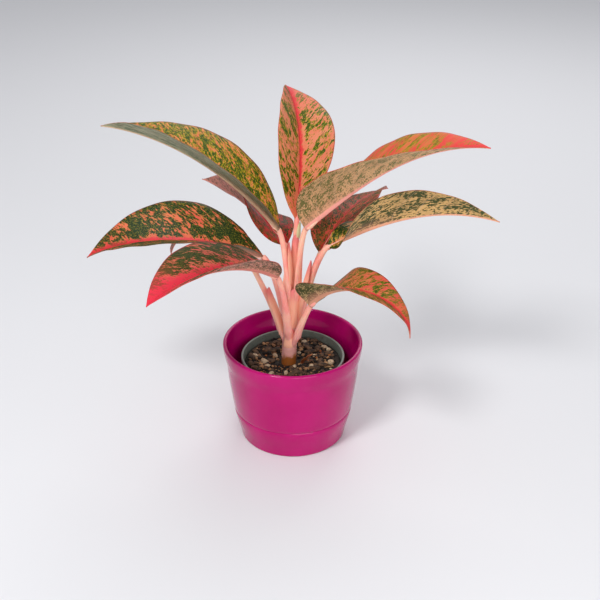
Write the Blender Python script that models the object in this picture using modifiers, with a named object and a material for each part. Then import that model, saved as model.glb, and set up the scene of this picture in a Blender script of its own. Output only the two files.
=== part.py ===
"""Potted chinese evergreen: a small aglaonema in a grower pot, standing in a glossy cover pot.

Metres, +Z up. The origin is the middle of the cover pot's flat foot, on the surface it stands on.
"""
import math

import bmesh
import bpy
import numpy as np

# ---------------------------------------------------------------- driving dimensions (metres)
COLLECTION = "potted_chinese_evergreen"
GAP = 0.0003                 # clearance kept between touching pieces
TURN_STEPS = 48              # sides of a turned piece
SOIL_STEPS = 36

# cover pot: glossy, flared to a wide collar, with a fine groove over a foot that curves in
POT_RIM_RADIUS = 0.0700      # outermost point of the rounded lip
POT_HEIGHT = 0.1051
POT_LIP = 0.0020             # radius of the rounded lip
POT_OUTSIDE = (              # (radius, height) down the outer side, from the lip to the foot
    (0.0697, 0.0990),
    (0.0690, 0.0935),
    (0.0678, 0.0885),
    (0.0667, 0.0840),
    (0.0654, 0.0690),
    (0.0635, 0.0540),
    (0.0615, 0.0400),
    (0.0604, 0.0332),
    (0.0597, 0.0325),
    (0.0601, 0.0312),
    (0.0592, 0.0250),
    (0.0577, 0.0190),
    (0.0560, 0.0130),
    (0.0546, 0.0070),
)
FOOT_RADIUS = 0.0536
FOOT_EDGE = 0.0022           # rounded edge under the foot
POT_FLOOR = 0.0050
POT_INSIDE = (               # (radius, height) up the inner side, from the floor's corner to the lip
    (0.0446, POT_FLOOR),
    (0.0476, POT_FLOOR + 0.0030),
    (0.0512, 0.0180),
    (0.0548, 0.0300),
    (0.0598, 0.0780),
    (0.0610, 0.0870),
    (0.0631, 0.0925),
    (0.0650, 0.0985),
)

# grower pot: thin nursery pot of the 10.5 cm size
GROWER_RIM_RADIUS = 0.0522
GROWER_RIM_Z = 0.0884
GROWER_RIM_DEPTH = 0.0060    # height of the thicker band round the rim
GROWER_BAND = 0.0012         # how far that band stands out
GROWER_FOOT_RADIUS = 0.0385
GROWER_WALL = 0.0012
GROWER_FLOOR = 0.0016
GROWER_FOOT_RING = 0.0030    # height of the ring that lifts its floor
DRAIN_HOLES = 6
DRAIN_RADIUS = 0.0040
DRAIN_CIRCLE = 0.0240

# potting soil
SOIL_Z = 0.0822
SOIL_CROWN = 0.0014          # how far the middle of the soil stands above its edge
SOCKET_RADIUS = 0.0083       # the hole in the soil that the stem stands in

# stem: a short upright cane, leaning a little, that carries every leaf stalk
STEM_BASE_Z = 0.0560         # its cut end, below the soil
STEM_POINTS = (              # x, y, z, radius
    (-0.0040, -0.0058, STEM_BASE_Z, 0.0070),
    (-0.0040, -0.0058, 0.0820, 0.0075),
    (-0.0032, -0.0040, 0.1050, 0.0074),
    (-0.0016, -0.0018, 0.1250, 0.0070),
    (0.0000, 0.0002, 0.1420, 0.0060),
    (0.0010, 0.0010, 0.1560, 0.0042),
)
STEM_SIDES = 16

CROWN_Z = STEM_POINTS[-1][2] + GAP   # where the topmost stalks stand on the stem's end

# leaves
BLADE_THICKNESS = 0.0009
BLADE_STATIONS = 20          # sections along a blade
STALK_STATIONS = 9           # sections along a leaf stalk
ROW = (-1.0, -0.5, 0.0, 0.5, 1.0)   # places across a section, margin to margin
STALK_RADIUS = 0.0027        # where the stalk meets the blade
SHEATH_RADIUS = 0.0036       # where the stalk leaves the stem
CROWN_SPREAD = 1.30          # how far the topmost stalks stand from the stem's axis, in radii
NECK = 0.10                  # part of the blade over which the round stalk flattens
TIP_HALF_WIDTH = 0.0006

# One row for each leaf. base is where the blade starts. heading is its compass direction
# (0 along +X, 90 along +Y) and sway how far it turns from there to the tip. rise is the slope at
# the base and droop how far that slope falls by the tip, later for a larger droop_bias. roll turns
# the blade about its midrib and fold lifts its halves, each as (base, tip), and cup curls them.
# round_base and long_tip shape the outline. foot is (heading, height) of the stalk on the stem.
LEAVES = {
    "leaf_01_upper_left": dict(
        base=(-0.013, -0.002, 0.228), heading=186, sway=-29, rise=53, droop=56, droop_bias=1.3,
        length=0.202, half_width=0.0456, roll=(-3, 28), roll_bias=0.6, fold=(24, 30), cup=5,
        round_base=0.70, long_tip=1.10, foot=(200, CROWN_Z)),
    "leaf_02_upright": dict(
        base=(0.0043, 0.011, 0.232), heading=80, sway=27, rise=58, droop=46, droop_bias=0.8,
        length=0.170, half_width=0.0357, roll=(7, 32), roll_bias=0.8, fold=(41, 30), cup=5,
        round_base=0.80, long_tip=0.90, foot=(80, CROWN_Z)),
    "leaf_03_upper_right": dict(
        base=(0.013, -0.006, 0.231), heading=339, sway=6, rise=45, droop=46, droop_bias=2.2,
        length=0.200, half_width=0.0464, roll=(-33, 0), roll_bias=2.0, fold=(36, 19), cup=5,
        round_base=0.60, long_tip=1.00, foot=(320, CROWN_Z)),
    "leaf_04_right": dict(
        base=(0.0334, -0.0035, 0.2105), heading=2, sway=-17, rise=28, droop=40, droop_bias=1.5,
        length=0.168, half_width=0.0343, roll=(72, -48), roll_bias=6.8, fold=(25, 25), cup=5,
        round_base=0.90, long_tip=1.20, foot=(350, 0.1360)),
    "leaf_05_back_right": dict(
        base=(0.027, 0.016, 0.194), heading=58, sway=-6, rise=37, droop=51, droop_bias=1.0,
        length=0.133, half_width=0.0314, roll=(3, -46), roll_bias=0.6, fold=(15, 9), cup=5,
        round_base=0.80, long_tip=1.10, foot=(40, 0.1300)),
    "leaf_06_left": dict(
        base=(-0.0279, 0.0057, 0.1954), heading=179, sway=-13, rise=22.5, droop=52.7, droop_bias=1.0,
        length=0.185, half_width=0.0430, roll=(17, -20), roll_bias=2.1, fold=(24, 37), cup=5,
        round_base=0.85, long_tip=1.15, foot=(195, 0.1400)),
    "leaf_07_front_left": dict(
        base=(-0.014, -0.0280, 0.1902), heading=218, sway=10, rise=41, droop=57, droop_bias=0.8,
        length=0.159, half_width=0.0395, roll=(5, 5), roll_bias=1.0, fold=(27, 25), cup=5,
        round_base=0.80, long_tip=1.00, foot=(255, 0.1220)),
    "leaf_08_front_right": dict(
        base=(0.018, -0.025, 0.159), heading=308, sway=47, rise=50, droop=137, droop_bias=1.5,
        length=0.141, half_width=0.0320, roll=(-26, 9), roll_bias=1.8, fold=(27, 20), cup=5,
        round_base=0.52, long_tip=1.30, foot=(310, 0.1150)),
    "leaf_09_back_left": dict(
        base=(-0.006, 0.012, 0.205), heading=127, sway=7, rise=24, droop=27, droop_bias=1.1,
        length=0.140, half_width=0.0324, roll=(-17, 65), roll_bias=2.2, fold=(14, 18), cup=5,
        round_base=0.80, long_tip=1.30, foot=(150, 0.1420)),
    "leaf_10_lower_left": dict(
        base=(-0.0398, 0.031, 0.1704), heading=159, sway=-6, rise=54, droop=131, droop_bias=1.3,
        length=0.120, half_width=0.0280, roll=(9, -9), roll_bias=1.2, fold=(19, 8), cup=5,
        round_base=0.80, long_tip=1.10, foot=(165, 0.1180)),
}


# ---------------------------------------------------------------- scene and materials
def clear_scene():
    for obj in list(bpy.data.objects):
        bpy.data.objects.remove(obj, do_unlink=True)


def new_collection(name):
    found = bpy.data.collections.get(name)
    if found is None:
        found = bpy.data.collections.new(name)
        bpy.context.scene.collection.children.link(found)
    return found


def material(name, colour, roughness, metallic=0.0):
    made = bpy.data.materials.new(name)
    made.use_nodes = True
    shader = made.node_tree.nodes["Principled BSDF"]
    shader.inputs["Base Color"].default_value = (*colour, 1.0)
    shader.inputs["Roughness"].default_value = roughness
    shader.inputs["Metallic"].default_value = metallic
    made.diffuse_color = (*colour, 1.0)
    return made


def add_object(name, data, collection, finish):
    data.materials.append(finish)
    obj = bpy.data.objects.new(name, data)
    collection.objects.link(obj)
    return obj


# ---------------------------------------------------------------- shape helpers
def arc(centre_x, centre_z, radius, start, end, steps):
    """Points on an arc, angles in degrees, both ends included."""
    angles = np.radians(np.linspace(start, end, steps + 1))
    return [(centre_x + radius * math.cos(a), centre_z + radius * math.sin(a)) for a in angles]


def turned(name, profile, steps, collection, finish):
    """A turned piece: (radius, height) points, down the outer side, spun about Z by a Screw."""
    mesh = bpy.data.meshes.new(name)
    points = [(radius, 0.0, height) for radius, height in profile]
    edges = [(i, i + 1) for i in range(len(points) - 1)]
    if profile[0][0] > 0.0:
        edges.append((len(points) - 1, 0))
    mesh.from_pydata(points, edges, [])
    obj = add_object(name, mesh, collection, finish)
    screw = obj.modifiers.new("turn", "SCREW")
    screw.axis = "Z"
    screw.steps = steps
    screw.render_steps = steps
    screw.use_merge_vertices = True
    screw.merge_threshold = 0.00001
    screw.use_smooth_shade = True
    return obj


def cylinder_cutter(name, radius, depth, place, sides, cutters):
    bpy.ops.mesh.primitive_cylinder_add(vertices=sides, radius=radius, depth=depth, location=place)
    cutter = bpy.context.object
    cutter.name = name
    for owner in list(cutter.users_collection):
        owner.objects.unlink(cutter)
    cutters.objects.link(cutter)
    cutter.hide_render = True
    cutter.display_type = "WIRE"
    return cutter


def cut_away(piece, cutter):
    cut = piece.modifiers.new(cutter.name, "BOOLEAN")
    cut.operation = "DIFFERENCE"
    cut.solver = "EXACT"
    cut.object = cutter


def loft(name, rings, collection, finish):
    """A closed skin over rings of equal point count, for a section that changes its shape."""
    builder = bmesh.new()
    rows = [[builder.verts.new(point) for point in ring] for ring in rings]
    count = len(rings[0])
    for lower, upper in zip(rows, rows[1:]):
        for i in range(count):
            j = (i + 1) % count
            builder.faces.new((lower[i], lower[j], upper[j], upper[i]))
    builder.faces.new(list(reversed(rows[0])))
    builder.faces.new(rows[-1])
    bmesh.ops.recalc_face_normals(builder, faces=builder.faces)
    mesh = bpy.data.meshes.new(name)
    builder.to_mesh(mesh)
    builder.free()
    mesh.shade_smooth()
    return add_object(name, mesh, collection, finish)


def rotated(vector, axis, angle):
    """A vector turned about a unit axis by an angle in radians."""
    along = axis * np.dot(axis, vector)
    return along + (vector - along) * math.cos(angle) + np.cross(axis, vector) * math.sin(angle)


def unit(vector):
    return vector / np.linalg.norm(vector)


# ---------------------------------------------------------------- pots and soil
def make_cover_pot(collection):
    finish = material("magenta_glaze", (0.45, 0.012, 0.15), 0.16)
    lip = POT_LIP
    lip_x = POT_RIM_RADIUS - lip
    lip_z = POT_HEIGHT - lip
    profile = [
        *arc(lip_x, lip_z, lip, 180, 0, 6),
        *POT_OUTSIDE,
        *arc(FOOT_RADIUS - FOOT_EDGE, FOOT_EDGE, FOOT_EDGE, 0, -90, 3),
        (0.0, 0.0),
        (0.0, POT_FLOOR),
        *POT_INSIDE,
    ]
    # the profile is a closed loop that touches the axis twice, so it is opened there
    on_axis = [i for i, point in enumerate(profile) if point[0] == 0.0]
    opened = profile[on_axis[1]:] + profile[:on_axis[0] + 1]
    return turned("cover_pot", opened, TURN_STEPS, collection, finish)


def make_grower_pot(collection, cutters):
    finish = material("grower_plastic", (0.06, 0.075, 0.06), 0.45)
    base_z = POT_FLOOR + GAP
    floor_z = base_z + GROWER_FOOT_RING
    rim_in = GROWER_RIM_RADIUS - GROWER_BAND - GROWER_WALL
    profile = [
        (0.0, floor_z + GROWER_FLOOR),
        (GROWER_FOOT_RADIUS - GROWER_WALL, floor_z + GROWER_FLOOR),
        (rim_in, GROWER_RIM_Z),
        (GROWER_RIM_RADIUS, GROWER_RIM_Z),
        (GROWER_RIM_RADIUS, GROWER_RIM_Z - GROWER_RIM_DEPTH),
        (GROWER_RIM_RADIUS - GROWER_BAND - 0.0004, GROWER_RIM_Z - GROWER_RIM_DEPTH - 0.0006),
        (GROWER_FOOT_RADIUS, base_z),
        (GROWER_FOOT_RADIUS - 0.0030, base_z),
        (GROWER_FOOT_RADIUS - 0.0036, floor_z),
        (0.0, floor_z),
    ]
    pot = turned("grower_pot", profile, TURN_STEPS, collection, finish)
    for i in range(DRAIN_HOLES):
        angle = 2.0 * math.pi * i / DRAIN_HOLES
        place = (DRAIN_CIRCLE * math.cos(angle), DRAIN_CIRCLE * math.sin(angle), floor_z)
        hole = cylinder_cutter(f"drain_cutter_{i + 1}", DRAIN_RADIUS, 0.010, place, 12, cutters)
        cut_away(pot, hole)
    return pot


def make_soil(collection, cutters):
    finish = material("potting_mix", (0.035, 0.022, 0.014), 0.95)
    base_z = POT_FLOOR + GAP + GROWER_FOOT_RING + GROWER_FLOOR + GAP
    slope = (GROWER_RIM_RADIUS - GROWER_BAND - GROWER_FOOT_RADIUS) / (GROWER_RIM_Z - base_z)
    bottom = GROWER_FOOT_RADIUS - GROWER_WALL - 2.0 * GAP
    top = bottom + slope * (SOIL_Z - base_z)
    profile = [
        (0.0, SOIL_Z + SOIL_CROWN),
        (0.5 * top, SOIL_Z + 0.7 * SOIL_CROWN),
        (top - 0.0020, SOIL_Z),
        (top, SOIL_Z - 0.0012),
        (bottom, base_z),
        (0.0, base_z),
    ]
    soil = turned("potting_soil", profile, SOIL_STEPS, collection, finish)
    x, y, height, _ = STEM_POINTS[0]
    depth = 0.060
    socket = cylinder_cutter(
        "stem_socket_cutter", SOCKET_RADIUS, depth, (x, y, height - GAP + 0.5 * depth), 24, cutters)
    cut_away(soil, socket)
    return soil


# ---------------------------------------------------------------- the plant
def stem_at(height):
    """Centre (x, y) and radius of the stem at a height."""
    heights = [point[2] for point in STEM_POINTS]
    return [float(np.interp(height, heights, [point[k] for point in STEM_POINTS])) for k in (0, 1, 3)]


def make_stem(collection):
    finish = material("stem_skin", (0.62, 0.34, 0.30), 0.40)
    rings = []
    turns = np.linspace(0.0, 2.0 * math.pi, STEM_SIDES, endpoint=False)
    for height in np.linspace(STEM_BASE_Z, STEM_POINTS[-1][2], 11):
        x, y, radius = stem_at(height)
        rings.append([(x + radius * math.cos(a), y + radius * math.sin(a), height) for a in turns])
    return loft("stem", rings, collection, finish)


def outline(t, round_base, long_tip):
    """Half-width of a blade at t (0 base, 1 tip) as a share of its widest."""
    widest = round_base / (round_base + long_tip)
    return (t / widest) ** round_base * ((1.0 - t) / (1.0 - widest)) ** long_tip


def blade_frames(leaf, stations):
    """Midrib point, direction, side and normal at each of the evenly spaced stations."""
    places = np.linspace(0.0, 1.0, stations + 1)
    frames = []
    point = np.array(leaf["base"])
    last = None
    for t in places:
        heading = math.radians(leaf["heading"] + leaf["sway"] * t)
        slope = math.radians(leaf["rise"] - leaf["droop"] * t ** leaf["droop_bias"])
        along = np.array((math.cos(slope) * math.cos(heading),
                          math.cos(slope) * math.sin(heading),
                          math.sin(slope)))
        if last is not None:
            point = point + 0.5 * (along + last) * leaf["length"] / stations
        last = along
        side = np.array((-math.sin(heading), math.cos(heading), 0.0))
        mix = 1.0 - (1.0 - t) ** leaf["roll_bias"]
        roll = math.radians(leaf["roll"][0] + (leaf["roll"][1] - leaf["roll"][0]) * mix)
        side = rotated(side, along, roll)
        frames.append((t, point, along, side, np.cross(along, side)))
    return frames


def blade_section(leaf, frame):
    """One ring across the blade: the upper face margin to margin, then the lower face back."""
    t, point, _, side, normal = frame
    width = max(leaf["half_width"] * outline(t, leaf["round_base"], leaf["long_tip"]), TIP_HALF_WIDTH)
    fold = math.radians(leaf["fold"][0] + (leaf["fold"][1] - leaf["fold"][0]) * t)
    cup = math.radians(leaf["cup"])
    half = 0.5 * BLADE_THICKNESS
    rib = half + (STALK_RADIUS - half) * (1.0 - t) ** 1.5
    upper = []
    lower = []
    for v in ROW:
        # a half is an arc: its slope runs from fold + cup at the midrib to fold - cup at the margin
        slopes = fold + cup * (1.0 - 2.0 * np.linspace(0.0, abs(v), 7))
        reach = float(np.mean(np.cos(slopes))) * abs(v) * width
        lift = float(np.mean(np.sin(slopes))) * abs(v) * width
        sign = float(np.sign(v))
        lean = 0.0 if v == 0.0 else slopes[-1]
        out = normal * math.cos(lean) - side * sign * math.sin(lean)
        place = point + side * sign * reach + normal * lift
        upper.append(place + out * half)
        lower.append(place - out * (rib if v == 0.0 else half))
    return np.array(upper + lower[::-1])


def stalk_section(point, side, normal, radius):
    """One ring round the stalk, with its points in the same order as a blade section's."""
    spread = np.radians(np.array(ROW) * 75.0)
    upper = [point + side * radius * math.sin(a) + normal * radius * math.cos(a) for a in spread]
    lower = [point + side * radius * math.sin(a) - normal * radius * math.cos(a) for a in spread]
    return np.array(upper + lower[::-1])


def stalk_path(leaf):
    """Points and directions along the stalk, from its foot on the stem to the blade."""
    heading, height = leaf["foot"]
    x, y, stem_radius = stem_at(height)
    turn = np.array((math.cos(math.radians(heading)), math.sin(math.radians(heading)), 0.0))
    top = STEM_POINTS[-1][2]
    offset = stem_radius + SHEATH_RADIUS
    if height > top:
        offset = SHEATH_RADIUS * CROWN_SPREAD
    start = np.array((x, y, height)) + turn * offset
    frame = blade_frames(leaf, 1)[0]
    end = frame[1]
    reach = np.linalg.norm(end - start)
    straight = unit(end - start)
    first = start + unit(np.array((0.0, 0.0, 0.8)) + straight) * reach * 0.30
    second = end - unit(frame[2] + straight) * reach * 0.22
    points = []
    for s in np.linspace(0.0, 1.0, STALK_STATIONS + 1):
        r = 1.0 - s
        place = r ** 3 * start + 3 * r * r * s * first + 3 * r * s * s * second + s ** 3 * end
        slope = 3 * r * r * (first - start) + 6 * r * s * (second - first) + 3 * s * s * (end - second)
        points.append((s, place, unit(slope)))
    return points, frame


def make_leaf(name, leaf, collection):
    finish = material(f"{name}_skin", (0.46, 0.30, 0.13), 0.35)
    rings = []
    path, frame = stalk_path(leaf)
    side = frame[3]
    for s, place, along in path[:-1]:
        across = unit(side - along * np.dot(along, side))
        radius = SHEATH_RADIUS + (STALK_RADIUS - SHEATH_RADIUS) * s
        rings.append(stalk_section(place, across, np.cross(along, across), radius))
    for frame in blade_frames(leaf, BLADE_STATIONS):
        t, point, _, across, normal = frame
        flat = blade_section(leaf, frame)
        share = min(1.0, t / NECK)
        share = share * share * (3.0 - 2.0 * share)
        if share < 1.0:
            flat = (1.0 - share) * stalk_section(point, across, normal, STALK_RADIUS) + share * flat
        rings.append(flat)
    return loft(name, rings, collection, finish)


def make_scale_leaf(collection):
    """The dry brown scale that leans at the foot of the stem, cupped like a spoon."""
    finish = material("dry_scale", (0.20, 0.085, 0.030), 0.6)
    leaf = dict(
        base=(0.0100, -0.0120, SOIL_Z + SOIL_CROWN + 0.0012), heading=330, sway=0, rise=62, droop=20,
        droop_bias=1.0, length=0.017, half_width=0.0050, roll=(0, 0), roll_bias=1.0, fold=(20, 30),
        cup=15, round_base=0.50, long_tip=0.80)
    rings = [blade_section(leaf, frame) for frame in blade_frames(leaf, 8)]
    return loft("dry_scale_leaf", rings, collection, finish)


def main():
    clear_scene()
    collection = new_collection(COLLECTION)
    cutters = new_collection("cutters")
    make_cover_pot(collection)
    make_grower_pot(collection, cutters)
    make_soil(collection, cutters)
    make_stem(collection)
    for name, leaf in LEAVES.items():
        make_leaf(name, leaf, collection)
    make_scale_leaf(collection)


main()
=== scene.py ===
"""Looks of a potted chinese evergreen: leaves, stalks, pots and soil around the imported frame."""
import math
import random

import bmesh
import bpy
import numpy as np
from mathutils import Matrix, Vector, noise


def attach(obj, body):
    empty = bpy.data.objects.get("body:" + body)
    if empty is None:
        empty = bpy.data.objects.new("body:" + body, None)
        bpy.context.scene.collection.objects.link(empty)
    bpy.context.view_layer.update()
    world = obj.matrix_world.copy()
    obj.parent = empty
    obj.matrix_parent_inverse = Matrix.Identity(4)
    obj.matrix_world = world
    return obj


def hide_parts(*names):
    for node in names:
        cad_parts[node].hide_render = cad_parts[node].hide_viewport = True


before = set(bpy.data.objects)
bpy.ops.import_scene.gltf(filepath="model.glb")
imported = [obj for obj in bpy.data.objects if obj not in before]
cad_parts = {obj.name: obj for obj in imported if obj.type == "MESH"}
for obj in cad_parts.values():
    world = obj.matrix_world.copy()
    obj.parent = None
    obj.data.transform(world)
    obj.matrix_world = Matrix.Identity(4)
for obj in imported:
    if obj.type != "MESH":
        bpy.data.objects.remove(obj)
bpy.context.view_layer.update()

BODY = "root"
UPWARDS = np.array((0.0, 0.0, 1.0))
rng = random.Random(7)

# ---------------------------------------------------------------- dimensions (metres)
BLADE_STATIONS = 96
BLADE_ACROSS = 18            # samples from midrib to margin
BLADE_HALF_THICKNESS = 0.00030
SCALE_STATIONS = 24
SCALE_HALF_THICKNESS = 0.0002
MIDRIB_RADIUS = 0.0024
STALK_RADIUS = 0.0026
SHEATH_RADIUS = 0.0036
SHEATH_ROWS = 36
SHEATH_ACROSS = 18
SHEATH_SHELL = 0.0003
SHEATH_DROP = 0.09           # metres below a stalk's foot for each unit of its path below 0
VEIN_SLANT = 0.50            # how far a side vein runs towards the tip for each step outwards
VEIN_CURVE = 14.0            # and how much more that grows for each metre from the midrib
VEIN_PITCH = 0.0115
UV_SCALE = 10.0              # leaf maps hold decimetres
WAVE_HEIGHT = 0.0004         # of the waves along a margin
WAVE_LENGTH = 0.034
QUILT_HEIGHT = 0.00012       # of the swelling between side veins
GROOVE_DEPTH = 0.00045       # of the groove over the midrib
GROOVE_WIDTH = 0.0011
LEAST_WIDTH = 0.0003         # half width kept at the foot and tip of a blade
LEAST_RIB = 0.00025          # midrib radius left at the tip
STALK_SIDES = 20
STALK_STEPS = 26
STALK_SINK = 0.016           # how far a stalk's foot runs down inside its sheath
PATH_STEPS = 40              # steps along a stalk, or a blade, that another piece follows
STEM_SIDES = 40
STEM_ROWS = 90
STEM_SCARS = (0.0925, 0.1010, 0.1085, 0.1150, 0.1215)      # heights of the old leaf scars
SCAR_HEIGHT = 0.00035
SCAR_WIDTH = 0.0007
SHEATH_GRAIN = (14.0, 1.2, 1.0)
STALK_GRAIN = (900.0, 900.0, 60.0)
STALK_LOW_SPAN = (0.150, 0.118)       # heights between which a stalk turns to its lower colour
STEM_AMBER_SPAN = (0.1000, 0.1055)    # and the stem from amber to mauve, its noise added
STEM_PEACH_SPAN = (0.118, 0.146)      # and from mauve to peach
GROWER_RIM_SPAN = (0.0874, 0.0884)    # and the grower pot to the colour of its rim

STEM_POINTS = (              # x, y, z, radius, as the frame has them
    (-0.0040, -0.0060, 0.0760, 0.0074),
    (-0.0040, -0.0057, 0.0850, 0.0074),
    (-0.0032, -0.0040, 0.1050, 0.0072),
    (-0.0016, -0.0018, 0.1250, 0.0069),
    (0.0000, 0.0002, 0.1420, 0.0060),
    (0.0010, 0.0010, 0.1560, 0.0046),
)
CROWN_Z = 0.1563
CROWN_SPREAD = 1.30

# Each leaf as the frame has it, with its look: mottle is the pattern it wears and seed its place in it.
LEAVES = {
    "leaf_01_upper_left": dict(
        base=(-0.013, -0.002, 0.228), heading=186, sway=-29, rise=53, droop=56, droop_bias=1.3,
        length=0.202, half_width=0.0456, roll=(-3, 28), roll_bias=0.6, fold=(24, 30), cup=5,
        round_base=0.70, long_tip=1.10, foot=(200, CROWN_Z), mottle="gold", seed=1.3),
    "leaf_02_upright": dict(
        base=(0.0043, 0.011, 0.232), heading=80, sway=27, rise=58, droop=46, droop_bias=0.8,
        length=0.170, half_width=0.0357, roll=(7, 32), roll_bias=0.8, fold=(41, 30), cup=5,
        round_base=0.80, long_tip=0.90, foot=(80, CROWN_Z), mottle="peach", seed=7.9),
    "leaf_03_upper_right": dict(
        base=(0.013, -0.006, 0.231), heading=339, sway=6, rise=45, droop=46, droop_bias=2.2,
        length=0.200, half_width=0.0464, roll=(-33, 0), roll_bias=2.0, fold=(36, 19), cup=5,
        round_base=0.60, long_tip=1.00, foot=(320, CROWN_Z), mottle="coral", seed=3.1),
    "leaf_04_right": dict(
        base=(0.0334, -0.0035, 0.2105), heading=2, sway=-17, rise=28, droop=40, droop_bias=1.5,
        length=0.168, half_width=0.0343, roll=(72, -48), roll_bias=6.8, fold=(25, 25), cup=5,
        round_base=0.90, long_tip=1.20, foot=(350, 0.1360), mottle="tan", seed=5.7),
    "leaf_05_back_right": dict(
        base=(0.027, 0.016, 0.194), heading=58, sway=-6, rise=37, droop=51, droop_bias=1.0,
        length=0.133, half_width=0.0314, roll=(3, -46), roll_bias=0.6, fold=(15, 9), cup=5,
        round_base=0.80, long_tip=1.10, foot=(40, 0.1300), mottle="red", seed=2.2),
    "leaf_06_left": dict(
        base=(-0.0279, 0.0057, 0.1954), heading=179, sway=-13, rise=22.5, droop=52.7, droop_bias=1.0,
        length=0.185, half_width=0.0430, roll=(17, -20), roll_bias=2.1, fold=(24, 37), cup=5,
        round_base=0.85, long_tip=1.15, foot=(195, 0.1400), mottle="green", seed=9.4),
    "leaf_07_front_left": dict(
        base=(-0.014, -0.0280, 0.1902), heading=218, sway=10, rise=41, droop=57, droop_bias=0.8,
        length=0.159, half_width=0.0395, roll=(5, 5), roll_bias=1.0, fold=(27, 25), cup=5,
        round_base=0.80, long_tip=1.00, foot=(255, 0.1220), mottle="pink", seed=6.6),
    "leaf_08_front_right": dict(
        base=(0.018, -0.025, 0.159), heading=308, sway=47, rise=50, droop=137, droop_bias=1.5,
        length=0.141, half_width=0.0320, roll=(-26, 9), roll_bias=1.8, fold=(27, 20), cup=5,
        round_base=0.52, long_tip=1.30, foot=(310, 0.1150), mottle="rose", seed=4.5),
    "leaf_09_back_left": dict(
        base=(-0.006, 0.012, 0.205), heading=127, sway=7, rise=24, droop=27, droop_bias=1.1,
        length=0.140, half_width=0.0324, roll=(-17, 65), roll_bias=2.2, fold=(14, 18), cup=5,
        round_base=0.80, long_tip=1.30, foot=(150, 0.1420), mottle="crimson", seed=8.3),
    "leaf_10_lower_left": dict(
        base=(-0.0398, 0.031, 0.1704), heading=159, sway=-6, rise=54, droop=131, droop_bias=1.3,
        length=0.120, half_width=0.0280, roll=(9, -9), roll_bias=1.2, fold=(19, 8), cup=5,
        round_base=0.80, long_tip=1.10, foot=(165, 0.1180), mottle="pink", seed=0.7),
}
SCALE_LEAF = dict(
    base=(0.0100, -0.0120, 0.0848), heading=330, sway=0, rise=62, droop=20, droop_bias=1.0,
    length=0.017, half_width=0.0050, roll=(0, 0), roll_bias=1.0, fold=(20, 30), cup=15,
    round_base=0.50, long_tip=0.80, seed=0.4)

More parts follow.
